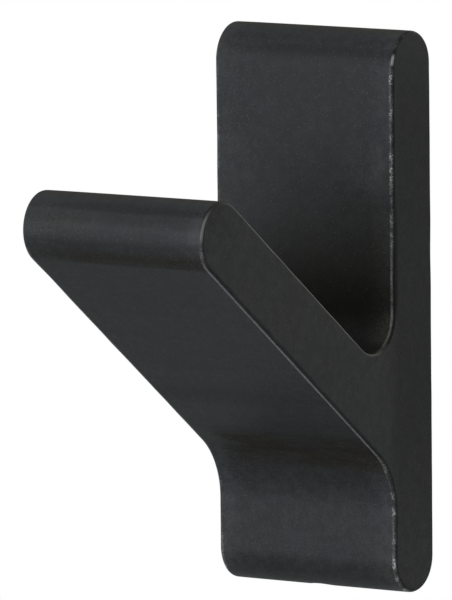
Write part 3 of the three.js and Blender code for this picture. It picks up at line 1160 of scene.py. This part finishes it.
def hook_centre():
    """The middle of the CAD box."""
    return (CAD_BOX[0] + CAD_BOX[1]) / 2


def soft_box(name, azimuth, elevation, width, height, radiance, tint):
    """A rectangular soft light aimed at the hook, set by how bright its face is."""
    lamp = bpy.data.lights.new(name, "AREA")
    lamp.shape = "RECTANGLE"
    lamp.size, lamp.size_y = width, height
    lamp.energy = WATTS_PER_RADIANCE * width * height * radiance
    lamp.color = tint
    box = bpy.data.objects.new(name, lamp)
    bpy.context.scene.collection.objects.link(box)
    back = towards(math.radians(azimuth), math.radians(elevation))
    box.location = hook_centre() + back * LIGHT_DISTANCE
    box.rotation_euler = (-back).to_track_quat("-Z", "Y").to_euler()


def add_camera(look):
    """The photograph's camera: a long lens aimed a little beside the hook's centre."""
    back = towards(look.azimuth, look.elevation)
    level = Vector((math.cos(look.azimuth), math.sin(look.azimuth), 0.0))
    upright = back.cross(level)
    turn, tilt = math.cos(look.roll), math.sin(look.roll)
    right = turn * level + tilt * upright
    up = turn * upright - tilt * level
    place = back * look.distance
    aim = up * look.aim_up - right * look.aim_across
    forward = (aim - place).normalized()
    across = forward.cross(up).normalized()
    above = across.cross(forward)
    lens = bpy.data.cameras.new("photo_camera")
    lens.lens = look.lens
    lens.clip_end = 100.0
    camera = bpy.data.objects.new("photo_camera", lens)
    bpy.context.scene.collection.objects.link(camera)
    axes = Matrix((across, above, -forward)).transposed()
    camera.matrix_world = Matrix.Translation(place) @ axes.to_4x4()
    bpy.context.scene.camera = camera


def floor_mesh(drop):
    """A round floor under the hook."""
    bm = bmesh.new()
    rim = []
    for i in range(ROUND_STEPS):
        turn = 2 * math.pi * i / ROUND_STEPS
        rim.append(bm.verts.new((FLOOR_RADIUS * math.cos(turn), FLOOR_RADIUS * math.sin(turn), -drop)))
    bm.faces.new(rim)
    return new_mesh("floor", bm)


class HOOK_OT_coating(Operator):
    """Build the black silicone coating over the core"""

    bl_idname = "wall_hook.coating"
    bl_label = "Silicone coating"
    bl_options = {"REGISTER", "UNDO"}

    def execute(self, context):
        sizes = context.scene.hook_sizes
        cutters = [cavity_mesh(sizes), window_mesh(sizes), access_mesh(sizes)]
        mesh = smooth(cut_away(skin_mesh(sizes), cutters))
        material = silicone_material(sizes, context.scene.hook_finish)
        add_piece("silicone_skin", mesh, material, "hook", "silicone_coating")
        return {"FINISHED"}


class HOOK_OT_core(Operator):
    """Finish the milled aluminium core"""

    bl_idname = "wall_hook.core"
    bl_label = "Core finish"
    bl_options = {"REGISTER", "UNDO"}

    def execute(self, context):
        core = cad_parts["hook_core"]
        if not core.material_slots:
            raise RuntimeError("the core has no material slot")
        core.material_slots[0].material = aluminium_material(context.scene.hook_finish)
        return {"FINISHED"}


class HOOK_OT_cleat(Operator):
    """Build the zinc-plated wall cleat"""

    bl_idname = "wall_hook.cleat"
    bl_label = "Wall cleat"
    bl_options = {"REGISTER", "UNDO"}

    def execute(self, context):
        mesh = cleat_mesh(context.scene.hook_sizes)
        material = zinc_material(context.scene.hook_finish)
        add_piece("wall_cleat_plate", mesh, material, "hook", "wall_cleat")
        return {"FINISHED"}


class HOOK_OT_set_screw(Operator):
    """Build the set screw with its thread and socket"""

    bl_idname = "wall_hook.set_screw"
    bl_label = "Set screw"
    bl_options = {"REGISTER", "UNDO"}

    def execute(self, context):
        mesh = screw_mesh(context.scene.hook_sizes)
        material = oxide_material(context.scene.hook_finish)
        add_piece("set_screw_threaded", mesh, material, "set_screw", "set_screw")
        return {"FINISHED"}


class HOOK_OT_stage(Operator):
    """Set up the floor, the lights and the camera"""

    bl_idname = "wall_hook.stage"
    bl_label = "Stage"
    bl_options = {"REGISTER", "UNDO"}

    def execute(self, context):
        scene = context.scene
        look = scene.hook_studio
        floor = bpy.data.objects.new("floor", floor_mesh(look.floor_drop))
        floor.data.materials.append(floor_material(look))
        scene.collection.objects.link(floor)
        scene.world = studio_world(ROOM_LIGHT * look.brightness)
        for name, azimuth, elevation, width, height, radiance, tint in SOFT_BOXES:
            soft_box(name, azimuth, elevation, width, height, radiance * look.brightness, tint)
        add_camera(look)
        scene.view_settings.view_transform = "Standard"
        return {"FINISHED"}


class HOOK_PT_builder(Panel):
    """The hook's sizes, finishes and builders"""

    bl_idname = "HOOK_PT_builder"
    bl_label = "Wall hook"
    bl_space_type = "VIEW_3D"
    bl_region_type = "UI"
    bl_category = "Wall hook"

    def draw(self, context):
        layout = self.layout
        layout.use_property_split = True
        for group in ("hook_sizes", "hook_finish", "hook_studio"):
            settings = getattr(context.scene, group)
            box = layout.box()
            for name in settings.__annotations__:
                box.prop(settings, name)
        for builder in BUILDERS:
            layout.operator(builder.bl_idname)


BUILDERS = (HOOK_OT_coating, HOOK_OT_core, HOOK_OT_cleat, HOOK_OT_set_screw, HOOK_OT_stage)
CLASSES = (HookSizes, HookFinish, StudioLook, *BUILDERS, HOOK_PT_builder)


def register():
    for cls in CLASSES:
        bpy.utils.register_class(cls)
    bpy.types.Scene.hook_sizes = PointerProperty(type=HookSizes)
    bpy.types.Scene.hook_finish = PointerProperty(type=HookFinish)
    bpy.types.Scene.hook_studio = PointerProperty(type=StudioLook)


def unregister():
    del bpy.types.Scene.hook_studio
    del bpy.types.Scene.hook_finish
    del bpy.types.Scene.hook_sizes
    for cls in reversed(CLASSES):
        bpy.utils.unregister_class(cls)


def main():
    register()
    bpy.ops.wall_hook.coating()
    bpy.ops.wall_hook.core()
    bpy.ops.wall_hook.cleat()
    bpy.ops.wall_hook.set_screw()
    bpy.ops.wall_hook.stage()


if __name__ == "__main__":
    main()
